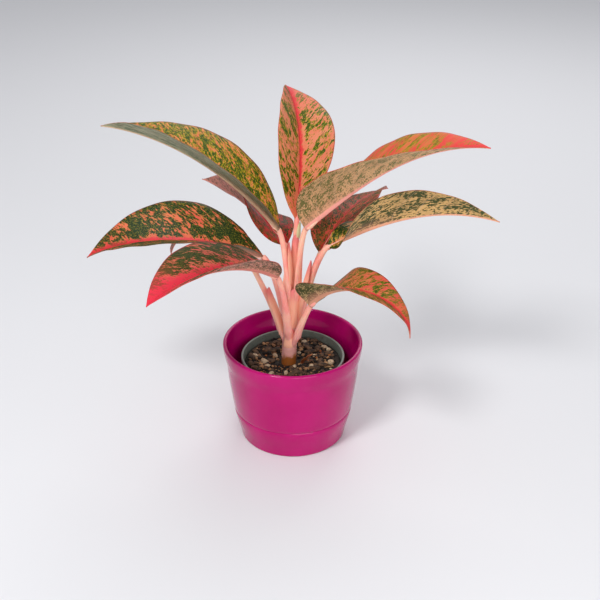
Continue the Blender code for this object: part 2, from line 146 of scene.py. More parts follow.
# The mottles. ground, second, green and dark are the upper side's colours; cover is the share of
# green, spots how much of it is dark, size the scale of the blotches and stretch how round they are,
# margin and rib the colours of edge and midrib, band the half width of the coloured midrib zone in
# decimetres, flush how red the tip is. The keys that start with under_ do the same for the underside.
MOTTLES = {
    "gold": dict(
        ground=(226, 130, 82), second=(214, 112, 66), green=(168, 152, 18), dark=(44, 74, 14), cover=0.60,
        spots=0.60, size=0.70, stretch=0.80, margin=(176, 70, 46), rib=(226, 120, 88), band=0.010,
        flush=0.0, under=(160, 160, 128), under_green=(92, 104, 74), under_cover=0.54,
        under_stretch=(0.22, 1.6), under_rib=(206, 172, 138)),
    "peach": dict(
        ground=(226, 136, 102), second=(224, 122, 90), green=(150, 142, 24), dark=(52, 82, 16), cover=0.46,
        spots=0.62, size=1.10, stretch=0.80, margin=(190, 74, 58), rib=(214, 62, 66), band=0.024,
        flush=0.55, under=(190, 152, 106), under_green=(98, 106, 52), under_cover=0.42,
        under_stretch=(0.8, 0.9), under_rib=(226, 154, 138)),
    "coral": dict(
        ground=(222, 80, 62), second=(216, 122, 66), green=(158, 140, 24), dark=(92, 104, 22), cover=0.40,
        spots=0.30, size=0.90, stretch=0.50, margin=(206, 44, 54), rib=(226, 66, 66), band=0.014,
        flush=0.95, under=(208, 164, 118), under_green=(96, 100, 52), under_cover=0.46,
        under_stretch=(0.9, 1.0), under_rib=(236, 158, 146)),
    "tan": dict(
        ground=(228, 152, 94), second=(212, 130, 66), green=(140, 134, 28), dark=(34, 62, 16), cover=0.62,
        spots=0.75, size=0.80, stretch=0.45, margin=(190, 106, 78), rib=(236, 146, 116), band=0.010,
        flush=0.2, under=(206, 166, 106), under_green=(30, 58, 24), under_cover=0.54,
        under_stretch=(0.45, 1.1), under_rib=(226, 160, 130)),
    "red": dict(
        ground=(208, 72, 62), second=(180, 48, 38), green=(124, 92, 26), dark=(50, 56, 22), cover=0.55,
        spots=0.56, size=0.52, stretch=1.10, margin=(150, 40, 38), rib=(180, 60, 52), band=0.010, flush=0.3,
        under=(196, 126, 112), under_green=(104, 84, 56), under_cover=0.40, under_stretch=(0.8, 0.9),
        under_rib=(222, 138, 126)),
    "crimson": dict(
        ground=(206, 44, 44), second=(176, 36, 36), green=(112, 84, 24), dark=(48, 54, 20), cover=0.50,
        spots=0.56, size=0.55, stretch=1.10, margin=(150, 40, 38), rib=(210, 44, 48), band=0.020, flush=0.3,
        under=(212, 138, 122), under_green=(110, 84, 58), under_cover=0.40, under_stretch=(0.8, 0.9),
        under_rib=(226, 146, 132)),
    "green": dict(
        ground=(226, 116, 80), second=(222, 88, 70), green=(140, 130, 36), dark=(30, 54, 24), cover=0.64,
        spots=0.96, size=1.20, stretch=0.80, margin=(110, 62, 44), rib=(222, 56, 66), band=0.026, flush=0.1,
        under=(138, 116, 84), under_green=(66, 82, 50), under_cover=0.58, under_stretch=(0.6, 1.0),
        under_rib=(196, 132, 110)),
    "pink": dict(
        ground=(222, 84, 84), second=(222, 108, 84), green=(118, 104, 40), dark=(46, 60, 24), cover=0.62,
        spots=0.88, size=0.72, stretch=0.65, margin=(206, 50, 62), rib=(226, 52, 72), band=0.060, flush=1.0,
        under=(204, 144, 126), under_green=(38, 58, 28), under_cover=0.53, under_stretch=(0.9, 0.9),
        under_rib=(206, 124, 112)),
    "rose": dict(
        ground=(214, 84, 72), second=(206, 124, 76), green=(122, 118, 30), dark=(62, 78, 22), cover=0.50,
        spots=0.50, size=0.60, stretch=0.50, margin=(190, 40, 46), rib=(206, 52, 56), band=0.012, flush=0.9,
        under=(184, 160, 108), under_green=(30, 54, 20), under_cover=0.55, under_stretch=(0.9, 0.9),
        under_rib=(212, 150, 122)),
}

# Clasping sheaths: pale wings round the foot of a stalk, or of the stem. path is the stretch of the
# stalk that one follows, or a pair of heights on the stem, radius its size at the bottom and the
# top, opening its half angle in degrees, and blunt how square its top is.
SHEATHS = {
    "sheath_front": dict(
        node="leaf_02_upright", path=(-0.30, 0.78), facing=262, radius=(0.0066, 0.0036), opening=92,
        blunt=7.0),
    "sheath_crown": dict(
        node="stem", path=(0.112, 0.166), facing=275, radius=(0.0074, 0.0066), opening=84, blunt=2.2),
    "sheath_right": dict(
        node="leaf_04_right", path=(-0.05, 0.70), facing=170, radius=(0.0056, 0.0072), opening=84,
        blunt=4.0),
    "sheath_left": dict(
        node="leaf_10_lower_left", path=(-0.05, 0.60), facing=335, radius=(0.0052, 0.0060), opening=84,
        blunt=6.0),
    "sheath_gold": dict(
        node="leaf_01_upper_left", path=(0.20, 0.74), facing=5, radius=(0.0058, 0.0066), opening=76,
        blunt=4.0),
    "young_leaf": dict(
        node="leaf_02_upright", path=(0.72, 0.97), facing=325, radius=(0.0044, 0.0040), opening=48,
        blunt=3.0),
    "sheath_back": dict(
        node="leaf_09_back_left", path=(0.0, 0.55), facing=350, radius=(0.0048, 0.0054), opening=66,
        blunt=2.2),
    "sheath_low": dict(
        node="stem", path=(0.098, 0.124), facing=272, radius=(0.0078, 0.0078), opening=56, blunt=1.6),
}

# pots and soil
POT_SIDES = 160
GROWER_SIDES = 128
POT_RIM_RADIUS = 0.0700
POT_HEIGHT = 0.1051
POT_LIP = 0.0020
POT_FLOOR = 0.0050
POT_FOOT_EDGE = 0.0022
POT_INSIDE = (                # (radius, height) from the floor up to the lip, with the ledge
    (0.0512, 0.0180), (0.0535, 0.0245), (0.0548, 0.0300), (0.0598, 0.0780), (0.0604, 0.0835),
    (0.0610, 0.0870), (0.0619, 0.0897), (0.0631, 0.0925), (0.0642, 0.0957), (0.0650, 0.0985),
)
POT_OUTSIDE = (               # and from the lip down to the foot, with the groove over the foot
    (0.0697, 0.0990), (0.0690, 0.0935), (0.0684, 0.0910), (0.0678, 0.0885), (0.0672, 0.0862),
    (0.0667, 0.0840), (0.0662, 0.0790), (0.0654, 0.0690), (0.0645, 0.0615), (0.0635, 0.0540),
    (0.0625, 0.0470), (0.0615, 0.0400), (0.0608, 0.0355), (0.0604, 0.0334), (0.0599, 0.0329),
    (0.0597, 0.0325), (0.0599, 0.0321), (0.0602, 0.0314), (0.0599, 0.0285), (0.0592, 0.0250),
    (0.0585, 0.0220), (0.0577, 0.0190), (0.0569, 0.0160), (0.0560, 0.0130), (0.0553, 0.0100),
    (0.0546, 0.0070), (0.0541, 0.0045),
)
GROWER_RIM_RADIUS = 0.0522
GROWER_RIM_Z = 0.0884
SOIL_Z = 0.0822
SOIL_CROWN = 0.0014
SOIL_RADIUS = 0.0482
SOIL_RINGS = 70
SOIL_SIDES = 150
SOIL_LUMPS = 0.0011
SOIL_CRUMBS = 0.0007
SOIL_SINK = 0.0004
SOIL_EDGE_DROP = 0.0012
SOIL_LOWER = ((0.0478, 0.0770), (0.0372, 0.0104))       # (radius, height) down its sides
STEM_FOOT = (-0.0040, -0.0058)
STEM_CLEARANCE = 0.0085      # kept free of loose pieces round the stem
LOOSE_REACH = SOIL_RADIUS - 0.0030

# Loose pieces on the soil: name, material, its pale and deep colours, roughness and grain, count,
# least and largest size, flatness, how far in from the edge, and how high they sit for their size.
SOIL_BITS = (
    ("peat_crumbs", "peat_look", (38, 29, 22), (14, 10, 8), 0.82, 300.0,
     620, 0.0012, 0.0036, 0.75, 0.0, 0.18),
    ("bark_chips", "bark_look", (112, 82, 56), (44, 31, 22), 0.75, 300.0,
     120, 0.0030, 0.0078, 0.42, 0.002, 0.20),
    ("tan_chips", "tan_chip_look", (186, 142, 98), (128, 88, 56), 0.72, 300.0,
     240, 0.0010, 0.0042, 0.50, 0.002, 0.25),
    ("perlite_lumps", "perlite_look", (226, 206, 174), (176, 150, 118), 0.80, 500.0,
     30, 0.0012, 0.0060, 0.80, 0.002, 0.28),
    ("rust_bits", "rust_bit_look", (196, 108, 40), (120, 58, 22), 0.70, 300.0,
     60, 0.0008, 0.0032, 0.60, 0.003, 0.30),
)

# colours, as 8-bit display values
STALK_PALE = (255, 194, 168)
STALK_PINK = (253, 152, 142)
STALK_LINES = (255, 222, 204)
STALK_LOW = (244, 180, 168)
STEM_AMBER = (158, 92, 34)
STEM_MAUVE = (228, 166, 156)
STEM_PEACH = (255, 198, 176)
STEM_SPECKS = (150, 92, 72)
GLAZE_DEEP = (168, 0, 94)
GLAZE_LIGHT = (180, 4, 104)
GLAZE_SPECKS = (164, 8, 92)
PLASTIC_DEEP = (104, 112, 104)
PLASTIC_LIGHT = (126, 134, 124)
PLASTIC_RIM = (116, 124, 116)
PLASTIC_DUST = (72, 54, 40)
SOIL_BLACK = (16, 12, 9)
SOIL_BROWN = (48, 36, 27)
SOIL_PATCHES = (88, 62, 42)
SOIL_FLECKS = (168, 148, 122)
UNDER_VEINS = (216, 178, 146)
UNDER_BLUSH = (226, 154, 130)
PEACH_SHEATH = ((255, 198, 164), (255, 170, 146), (238, 112, 124))     # light, deep, tip
PALE_SHEATH = ((236, 230, 184), (214, 214, 152), (206, 212, 150))
SCALE_COLOURS = ((176, 96, 40), (104, 50, 20))                          # pale, deep

# stage
FLOOR_COLOUR = (0.80, 0.80, 0.82, 1.0)
WORLD_COLOUR = (0.95, 0.96, 1.0, 1.0)
WORLD_STRENGTH = 0.47
PLANT_MIDDLE = (0.0, 0.0, 0.18)
LIGHTS = (                   # name, place, side of the square and watts
    ("key", (-0.6, -0.95, 1.5), 0.4, 16.0),
    ("fill", (0.45, -1.4, 0.42), 1.0, 10.0),
    ("back", (0.3, 1.2, 1.3), 1.0, 8.0),
)
CAMERA_LENS = 67.2
CAMERA_SENSOR = 36.0
CAMERA_PLACE = (0.0073, -0.970, 0.674)
CAMERA_TILT = 61.66


# ---------------------------------------------------------------- small helpers
def srgb(colour):
    """An 8-bit display colour as the linear value that a shader socket takes."""
    linear = []
    for value in colour:
        share = value / 255.0
        linear.append(share / 12.92 if share <= 0.04045 else ((share + 0.055) / 1.055) ** 2.4)
    return (*linear, 1.0)


def rotated(vector, axis, angle):
    along = axis * np.dot(axis, vector)
    return along + (vector - along) * math.cos(angle) + np.cross(axis, vector) * math.sin(angle)


def unit(vector):
    return vector / np.linalg.norm(vector)


def smooth(low, high, value):
    share = min(1.0, max(0.0, (value - low) / (high - low)))
    return share * share * (3.0 - 2.0 * share)


def circle(sides):
    """Cosine and sine of evenly spaced angles round a circle."""
    angles = [2.0 * math.pi * k / sides for k in range(sides)]
    return [(math.cos(a), math.sin(a)) for a in angles]


def closed_strip(sheets, rows, across):
    """Points and faces of a thin body between two grids of rows + 1 by across points."""
    under = len(sheets[0])
    faces = []
    for r in range(rows):
        for c in range(across - 1):
            a = r * across + c
            b = a + under
            faces.append((a, a + across, a + across + 1, a + 1))
            faces.append((b, b + 1, b + across + 1, b + across))
        for c in (0, across - 1):
            a = r * across + c
            ring = (a, a + under, a + under + across, a + across)
            faces.append(ring if c == 0 else tuple(reversed(ring)))
    for r in (0, rows):
        for c in range(across - 1):
            a = r * across + c
            ring = (a, a + 1, a + 1 + under, a + under)
            faces.append(ring if r == 0 else tuple(reversed(ring)))
    return sheets[0] + sheets[1], faces


def tube_faces(rings, sides):
    """Faces of a capped tube through rings of points, each with as many sides."""
    faces = []
    for r in range(rings - 1):
        for k in range(sides):
            j = (k + 1) % sides
            faces.append((r * sides + k, r * sides + j, (r + 1) * sides + j, (r + 1) * sides + k))
    faces.append(tuple(reversed(range(sides))))
    faces.append(tuple(range((rings - 1) * sides, rings * sides)))
    return faces


def new_object(name, data):
    obj = bpy.data.objects.new(name, data)
    bpy.context.scene.collection.objects.link(obj)
    return obj


def mesh_object(name, points, faces, materials):
    mesh = bpy.data.meshes.new(name)
    mesh.from_pydata([tuple(p) for p in points], [], faces)
    mesh.shade_smooth()
    for made in materials:
        mesh.materials.append(made)
    return new_object(name, mesh)


def finish_piece(obj, node):
    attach(obj, BODY)
    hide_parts(node)
    return obj


# ---------------------------------------------------------------- node helpers
class Nodes:
    """A material's node tree, with short calls for the nodes that the looks are made of."""

    def __init__(self, name):
        self.material = bpy.data.materials.new(name)
        self.material.use_nodes = True
        self.tree = self.material.node_tree
        self.shader = self.tree.nodes["Principled BSDF"]

    def set(self, name, value):
        self.shader.inputs[name].default_value = value

    def link(self, source, target):
        self.tree.links.new(source, target)

    def add(self, kind, **values):
        node = self.tree.nodes.new(kind)
        for key, value in values.items():
            setattr(node, key, value)
        return node

    def feed(self, socket, value):
        """Gives a socket another one's output, an 8-bit display colour or a number."""
        if isinstance(value, bpy.types.NodeSocket):
            self.link(value, socket)
        else:
            socket.default_value = srgb(value) if isinstance(value, (tuple, list)) else value

    def math(self, operation, first, second=0.0):
        node = self.add("ShaderNodeMath", operation=operation)
        self.feed(node.inputs[0], first)
        self.feed(node.inputs[1], second)
        return node.outputs[0]

    def mix(self, share, first, second):
        node = self.add("ShaderNodeMix", data_type="RGBA")
        self.feed(node.inputs[0], share)
        self.feed(node.inputs[6], first)
        self.feed(node.inputs[7], second)
        return node.outputs[2]

    def tint(self, colour, other, share, strength):
        """The colour with some of another over it: strength at most, where share is 1."""
        return self.mix(self.math("MULTIPLY", share, strength), colour, other)

    def plus(self, value, pattern, part):
        """The value, and part of a pattern on top."""
        return self.math("ADD", value, self.math("MULTIPLY", pattern, part))

    def sum(self, first, first_part, second, second_part):
        """Two patterns added, each by its part."""
        return self.plus(self.math("MULTIPLY", first, first_part), second, second_part)

    def less(self, value, share, strength):
        """The value, lowered by strength where share is 1."""
        left = self.math("SUBTRACT", 1.0, self.math("MULTIPLY", share, strength))
        return self.math("MULTIPLY", value, left)

    def step(self, value, low, high):
        """0 below low, 1 above high, smooth between."""
        node = self.add("ShaderNodeMapRange", interpolation_type="SMOOTHSTEP")
        self.feed(node.inputs["Value"], value)
        self.feed(node.inputs["From Min"], low)
        self.feed(node.inputs["From Max"], high)
        return node.outputs["Result"]

    def noise(self, vector, scale, detail=3.0, rough=0.5, distortion=0.0):
        node = self.add("ShaderNodeTexNoise")
        values = dict(Vector=vector, Scale=scale, Detail=detail, Roughness=rough, Distortion=distortion)
        for name, value in values.items():
            self.feed(node.inputs[name], value)
        return node.outputs["Fac"]

    def place(self, vector, shift, scale):
        node = self.add("ShaderNodeMapping")
        self.link(vector, node.inputs["Vector"])
        node.inputs["Location"].default_value = shift
        node.inputs["Scale"].default_value = scale
        return node.outputs["Vector"]

    def object_space(self):
        return self.add("ShaderNodeTexCoord").outputs["Object"]

    def uv(self, name):
        return self.add("ShaderNodeUVMap", uv_map=name).outputs["UV"]

    def split(self, vector):
        """The separate x, y and z of a vector."""
        node = self.add("ShaderNodeSeparateXYZ")
        self.link(vector, node.inputs[0])
        return node.outputs

    def surface(self, colour, pattern, span, least):
        """The colour, and a roughness that runs from least up by span where the pattern is 1."""
        self.link(colour, self.shader.inputs["Base Color"])
        self.link(self.plus(least, pattern, span), self.shader.inputs["Roughness"])

    def flesh(self, weight, scale, shine=0.5):
        self.set("Subsurface Weight", weight)
        self.set("Subsurface Scale", scale)
        self.set("Specular IOR Level", shine)

    def bumped(self, height, strength, distance):
        """The finished material, with its bump."""
        node = self.add("ShaderNodeBump")
        node.inputs["Strength"].default_value = strength
        node.inputs["Distance"].default_value = distance
        self.link(height, node.inputs["Height"])
        self.link(node.outputs["Normal"], self.shader.inputs["Normal"])
        return self.material


# ---------------------------------------------------------------- leaf materials
def leaf_map(nodes):
    """The leaf's map, distance along the side veins and from the midrib, 1 on the rim, share to the tip."""
    flat = nodes.uv("veins")
    places = nodes.split(flat)
    edge = nodes.split(nodes.uv("edge"))
    rim = nodes.step(nodes.math("ABSOLUTE", edge[0]), 0.968, 0.992)
    return flat, places[0], nodes.math("ABSOLUTE", places[1]), rim, edge[1]


def vein_lines(nodes, along_veins, pitch, softness):
    """1 on the side veins, falling to 0 between them; the veins waver a little."""
    wobble = nodes.noise(nodes.uv("veins"), 5.0, 2.0)
    moved = nodes.plus(along_veins, wobble, 0.06)
    turns = nodes.math("MULTIPLY", moved, 1.0 / (pitch * UV_SCALE))
    return nodes.step(nodes.math("PINGPONG", turns, 0.5), softness, 0.0)


def leaf_top(name, mottle, seed):
    """Salmon or pink ground with olive islands round dark green spots, redder by the midrib."""
    nodes = Nodes(name)
    look = MOTTLES[mottle]
    flat, along_veins, off_rib, rim, along = leaf_map(nodes)
    size = look["size"]
    shift = (seed * 3.1, seed * 1.7, seed)
    veined = nodes.place(flat, shift, (1.0, look["stretch"], 1.0))

    islands = nodes.noise(veined, 9.0 / size, 2.0, 0.5, 0.4)
    blotches = nodes.noise(veined, 30.0 / size, 2.0, 0.55, 0.7)
    specks = nodes.noise(veined, 78.0 / size, 2.0, 0.60, 0.4)
    field = nodes.sum(islands, 0.50, blotches, 0.60)
    field = nodes.plus(field, specks, 0.34)
    near_rib = nodes.step(off_rib, look["band"] * 3.0, look["band"])
    field = nodes.plus(field, near_rib, -0.10)
    level = 0.720 - 0.46 * (look["cover"] - 0.5)
    greens = nodes.step(field, level - 0.006, level + 0.010)
    spots = nodes.noise(nodes.place(flat, shift, (1.0, 0.80, 1.0)), 60.0 / size, 2.0, 0.50, 0.5)
    inner = nodes.plus(spots, nodes.math("SUBTRACT", field, level), 1.1)
    dark_level = 0.560 - 0.34 * (look["spots"] - 0.5)
    darks = nodes.step(inner, dark_level - 0.012, dark_level + 0.016)
    flecks = nodes.noise(nodes.place(flat, shift, (1.0, 0.70, 1.0)), 110.0, 2.0, 0.5, 0.4)
    darks = nodes.less(darks, nodes.step(flecks, 0.55, 0.60), look["spots"] ** 2 * 0.75)

    tone = nodes.noise(veined, 6.0, 3.0, 0.6)
    ground = nodes.mix(nodes.step(tone, 0.42, 0.60), look["ground"], look["second"])
    fine = nodes.noise(nodes.place(flat, shift, (1.0, 0.3, 1.0)), 90.0, 3.0, 0.6)
    lighter = [min(255, c + 18) for c in look["ground"]]
    ground = nodes.tint(ground, lighter, nodes.step(fine, 0.45, 0.70), 0.30)
    halo = nodes.step(field, level - 0.060, level)
    ground = nodes.tint(ground, look["green"], halo, 0.45)
    green = nodes.mix(darks, look["green"], look["dark"])

    widening = nodes.plus(0.35, along, 1.4)
    ragged = nodes.math("MULTIPLY", nodes.math("SUBTRACT", blotches, 0.5), look["band"] * 2.4)
    zone = nodes.math("DIVIDE", nodes.math("ADD", off_rib, ragged), widening)
    rib = nodes.step(zone, look["band"] * 1.5, look["band"] * 0.6)
    ground = nodes.tint(ground, look["rib"], rib, 0.92)
    flush = nodes.math("MULTIPLY", nodes.step(along, 0.62, 0.98), look["flush"])
    ground = nodes.mix(flush, ground, look["rib"])
    greens = nodes.less(greens, flush, 0.55)
    greens = nodes.less(greens, rib, 0.65)
    colour = nodes.mix(greens, ground, green)

    veins = vein_lines(nodes, along_veins, VEIN_PITCH, 0.05)
    colour = nodes.tint(colour, look["ground"], veins, 0.05)
    line = nodes.step(off_rib, 0.011, 0.003)
    colour = nodes.tint(colour, look["rib"], line, 0.70)
    colour = nodes.tint(colour, look["margin"], rim, 0.8)
    nodes.surface(colour, fine, 0.20, 0.34)
    nodes.flesh(0.06, 0.002, 0.18)
    return nodes.bumped(nodes.sum(veins, -0.4, fine, 0.35), 0.25, 0.0004)


def leaf_under(name, mottle, seed):
    """The underside: duller, with green speckles showing through, and a paler midrib and veins."""
    nodes = Nodes(name)
    look = MOTTLES[mottle]
    flat, along_veins, off_rib, rim, along = leaf_map(nodes)
    shift = (seed * 3.1, seed * 1.7, seed)
    streaked = nodes.place(flat, shift, (*look["under_stretch"], 1.0))
    speckles = nodes.noise(streaked, 66.0, 2.0, 0.55, 0.6)
    wide = nodes.noise(streaked, 16.0, 2.0, 0.6, 0.3)
    field = nodes.sum(speckles, 0.62, wide, 0.38)
    tone = nodes.noise(streaked, 7.0, 3.0, 0.6)
    ground = nodes.mix(nodes.step(tone, 0.38, 0.64), look["under"], [0.88 * c for c in look["under"]])
    near_foot = nodes.step(along, 0.55, 0.05)
    level = 0.512 - 0.30 * (look["under_cover"] - 0.5)
    level = nodes.plus(level, near_foot, -0.03)
    greens = nodes.step(nodes.math("SUBTRACT", field, level), -0.004, 0.008)
    colour = nodes.tint(ground, look["under_green"], greens, 0.92)
    veins = vein_lines(nodes, along_veins, 2.0 * VEIN_PITCH, 0.035)
    colour = nodes.tint(colour, UNDER_VEINS, veins, 0.30)
    blush = nodes.math("MULTIPLY", nodes.step(off_rib, 0.14, 0.02), near_foot)
    colour = nodes.tint(colour, UNDER_BLUSH, blush, 0.45)
    taper = nodes.plus(0.008, near_foot, 0.016)
    rib = nodes.step(nodes.math("SUBTRACT", off_rib, taper), 0.008, -0.002)
    colour = nodes.tint(colour, look["under_rib"], rib, 0.90)
    colour = nodes.tint(colour, look["margin"], rim, 0.6)
    nodes.surface(colour, tone, 0.15, 0.46)
    nodes.flesh(0.08, 0.002, 0.22)
    return nodes.bumped(nodes.plus(veins, speckles, 0.3), 0.5, 0.0004)


# ---------------------------------------------------------------- leaf shapes
def outline(t, round_base, long_tip):
    widest = round_base / (round_base + long_tip)
    return (t / widest) ** round_base * ((1.0 - t) / (1.0 - widest)) ** long_tip


def blade_frames(leaf, stations):
    """Midrib point, direction, side and normal at each of the evenly spaced stations."""
    frames = []
    point = np.array(leaf["base"])
    last = None
    for t in np.linspace(0.0, 1.0, stations + 1):
        heading = math.radians(leaf["heading"] + leaf["sway"] * t)
        slope = math.radians(leaf["rise"] - leaf["droop"] * t ** leaf["droop_bias"])
        along = np.array((math.cos(slope) * math.cos(heading),
                          math.cos(slope) * math.sin(heading),
                          math.sin(slope)))
        if last is not None:
            point = point + 0.5 * (along + last) * leaf["length"] / stations
        last = along
        side = np.array((-math.sin(heading), math.cos(heading), 0.0))
        mix = 1.0 - (1.0 - t) ** leaf["roll_bias"]
        roll = leaf["roll"][0] + (leaf["roll"][1] - leaf["roll"][0]) * mix
        side = rotated(side, along, math.radians(roll))
        frames.append((t, point, along, side, np.cross(along, side)))
    return frames


def vein_run(off_rib):
    """How far towards the tip a side vein has run, at a distance from the midrib."""
    return (VEIN_SLANT + VEIN_CURVE * off_rib) * off_rib


def across_places(count):
    """Shares from margin to margin, closer together near the midrib."""
    half = [(i / count) ** 1.6 for i in range(1, count + 1)]
    return [-v for v in reversed(half)] + [0.0] + half


def blade_point(leaf, section, v):
    """Middle-surface point and normal at a share v across a section, its half width and distance along."""
    t, point, _, side, normal = section
    width = max(leaf["half_width"] * outline(t, leaf["round_base"], leaf["long_tip"]), LEAST_WIDTH)
    fold = math.radians(leaf["fold"][0] + (leaf["fold"][1] - leaf["fold"][0]) * t)
    cup = math.radians(leaf["cup"])
    slopes = fold + cup * (1.0 - 2.0 * np.linspace(0.0, abs(v), 7))
    reach = float(np.mean(np.cos(slopes))) * abs(v) * width
    lift = float(np.mean(np.sin(slopes))) * abs(v) * width
    sign = float(np.sign(v))
    lean = slopes[-1] * min(1.0, abs(v) * 12.0)
    out = normal * math.cos(lean) - side * sign * math.sin(lean)
    distance = t * leaf["length"]
    wave_phase = 2.0 * math.pi * distance / WAVE_LENGTH + leaf["seed"] * 5.0 + sign
    wave = WAVE_HEIGHT * abs(v) ** 2 * math.sin(wave_phase)
    wave *= smooth(0.0, 0.2, t) * smooth(1.0, 0.8, t)
    vein_phase = 2.0 * math.pi * (distance - vein_run(abs(v) * width)) / VEIN_PITCH
    quilt = QUILT_HEIGHT * math.cos(vein_phase) * smooth(0.02, 0.2, abs(v)) * smooth(1.0, 0.8, abs(v))
    place = point + side * sign * reach + normal * lift + out * (wave - quilt)
    return place, out, width, distance


def make_blade(name, leaf, node):
    places = across_places(BLADE_ACROSS)
    upper = []
    lower = []
    uv = []
    for section in blade_frames(leaf, BLADE_STATIONS):
        t = section[0]
        rib = MIDRIB_RADIUS * (1.0 - t) ** 1.2 + LEAST_RIB
        for v in places:
            place, out, width, distance = blade_point(leaf, section, v)
            off_rib = abs(v) * width
            thin = BLADE_HALF_THICKNESS * (0.35 + 0.65 * smooth(1.0, 0.9, abs(v)))
            groove = GROOVE_DEPTH * math.exp(-(off_rib / GROOVE_WIDTH) ** 2) * (1.0 - t)
            keel = rib * math.exp(-(off_rib / (0.85 * rib + 0.0002)) ** 2)
            upper.append(place + out * (thin - groove))
            lower.append(place - out * (thin + keel))
            uv.append(((distance - vein_run(off_rib)) * UV_SCALE, v * width * UV_SCALE, v, t))
    points, faces = closed_strip((upper, lower), BLADE_STATIONS, len(places))
    top = leaf_top(f"{name}_top", leaf["mottle"], leaf["seed"])
    bottom = leaf_under(f"{name}_under", leaf["mottle"], leaf["seed"])
    obj = mesh_object(name, points, faces, [top, bottom])
    mesh = obj.data
    under = len(upper)
    for face in mesh.polygons:
        face.material_index = int(all(v >= under for v in face.vertices))
    veins = mesh.uv_layers.new(name="veins")
    edge = mesh.uv_layers.new(name="edge")
    for loop in mesh.loops:
        first, second, share, along = uv[loop.vertex_index % under]
        veins.data[loop.index].uv = (first, second)
        edge.data[loop.index].uv = (share, along)
    mesh.update()
    return finish_piece(obj, node)


# ---------------------------------------------------------------- stalks and stem
def stem_at(height):
    heights = [point[2] for point in STEM_POINTS]
    return [float(np.interp(height, heights, [point[k] for point in STEM_POINTS])) for k in (0, 1, 3)]


def stalk_curve(leaf, steps):
    heading, height = leaf["foot"]
    x, y, stem_radius = stem_at(height)
    turn = np.array((math.cos(math.radians(heading)), math.sin(math.radians(heading)), 0.0))
    offset = stem_radius + SHEATH_RADIUS
    if height > STEM_POINTS[-1][2]:
        offset = SHEATH_RADIUS * CROWN_SPREAD
    start = np.array((x, y, height)) + turn * offset
    section = blade_frames(leaf, 1)[0]
    end = section[1]
    reach = np.linalg.norm(end - start)
    straight = unit(end - start)
    first = start + unit(np.array((0.0, 0.0, 0.8)) + straight) * reach * 0.30
    second = end - unit(section[2] + straight) * reach * 0.22
    path = []
    for s in np.linspace(0.0, 1.0, steps + 1):
        r = 1.0 - s
        place = r ** 3 * start + 3 * r * r * s * first + 3 * r * s * s * second + s ** 3 * end
        slope = 3 * r * r * (first - start) + 6 * r * s * (second - first) + 3 * s * s * (end - second)
        path.append((s, place, unit(slope)))
    return path, turn, section


def stalk_material():
    nodes = Nodes("stalk_pink")
    space = nodes.object_space()
    long_grain = nodes.noise(nodes.place(space, (0, 0, 0), STALK_GRAIN), 1.0, 3.0, 0.6)
    cloud = nodes.noise(space, 30.0, 3.0, 0.6)
    colour = nodes.mix(nodes.step(cloud, 0.36, 0.66), STALK_PALE, STALK_PINK)
    colour = nodes.tint(colour, STALK_LINES, nodes.step(long_grain, 0.45, 0.75), 0.25)
    height = nodes.split(space)[2]
    low = nodes.step(height, *STALK_LOW_SPAN)
    colour = nodes.tint(colour, STALK_LOW, low, 0.45)
    nodes.surface(colour, cloud, 0.2, 0.30)
    nodes.flesh(0.30, 0.004, 0.30)
    return nodes.bumped(long_grain, 0.20, 0.0003)


def sheath_material(name, light, deep, tip_colour):
    """One pale colour, another towards the free tip, with fine lines along it."""
    nodes = Nodes(name)
    flat = nodes.uv("sheath")
    upwards = nodes.split(flat)[1]
    lines = nodes.noise(nodes.place(flat, (0, 0, 0), SHEATH_GRAIN), 1.0, 3.0, 0.6)
    colour = nodes.mix(nodes.step(lines, 0.35, 0.70), light, deep)
    tip = nodes.step(upwards, 0.62, 0.97)
    colour = nodes.tint(colour, tip_colour, tip, 0.75)
    nodes.surface(colour, lines, 0.2, 0.32)
    nodes.flesh(0.05, 0.001, 0.30)
    return nodes.bumped(lines, 0.25, 0.0003)


def sheath_place(spec, share):
    """Point and direction on the line that a sheath follows."""
    low, high = spec["path"]
    there = low + (high - low) * share
    if spec["node"] == "stem":
        x, y, _ = stem_at(there)
        return np.array((x, y, there)), UPWARDS
    path = stalk_curve(LEAVES[spec["node"]], PATH_STEPS)[0]
    if there < 0.0:
        return path[0][1] + np.array((0.0, 0.0, there * SHEATH_DROP)), UPWARDS
    step = there * PATH_STEPS
    first = path[int(step)]
    after = path[int(step) + 1]
    return first[1] + (after[1] - first[1]) * (step - int(step)), first[2]


def make_sheath(name, spec, finish):
    """A thin trough that clasps a stretch of stalk, open on one side, with a free tip at the top."""
    facing = math.radians(spec["facing"])
    outward = np.array((math.cos(facing), math.sin(facing), 0.0))
    sheets = ([], [])
    uv = []
    for r in range(SHEATH_ROWS + 1):
        share = r / SHEATH_ROWS
        place, along = sheath_place(spec, share)
        out = unit(outward - along * np.dot(along, outward))
        side = np.cross(along, out)
        half = math.radians(spec["opening"]) * math.sqrt(max(0.0, 1.0 - share ** spec["blunt"])) + 0.02
        low, high = spec["radius"]
        swell = (low + (high - low) * share) * (0.80 + 0.20 * smooth(0.0, 0.3, share))
        for c in range(SHEATH_ACROSS + 1):
            v = 2.0 * c / SHEATH_ACROSS - 1.0
            ray = out * math.cos(v * half) + side * math.sin(v * half)
            sheets[0].append(place + ray * swell)
            sheets[1].append(place + ray * (swell - SHEATH_SHELL))
            uv.append((v, share))
    points, faces = closed_strip(sheets, SHEATH_ROWS, SHEATH_ACROSS + 1)
    obj = mesh_object(name, points, faces, [finish])
    layer = obj.data.uv_layers.new(name="sheath")
    for loop in obj.data.loops:
        layer.data[loop.index].uv = uv[loop.vertex_index % len(uv)]
    return finish_piece(obj, spec["node"])


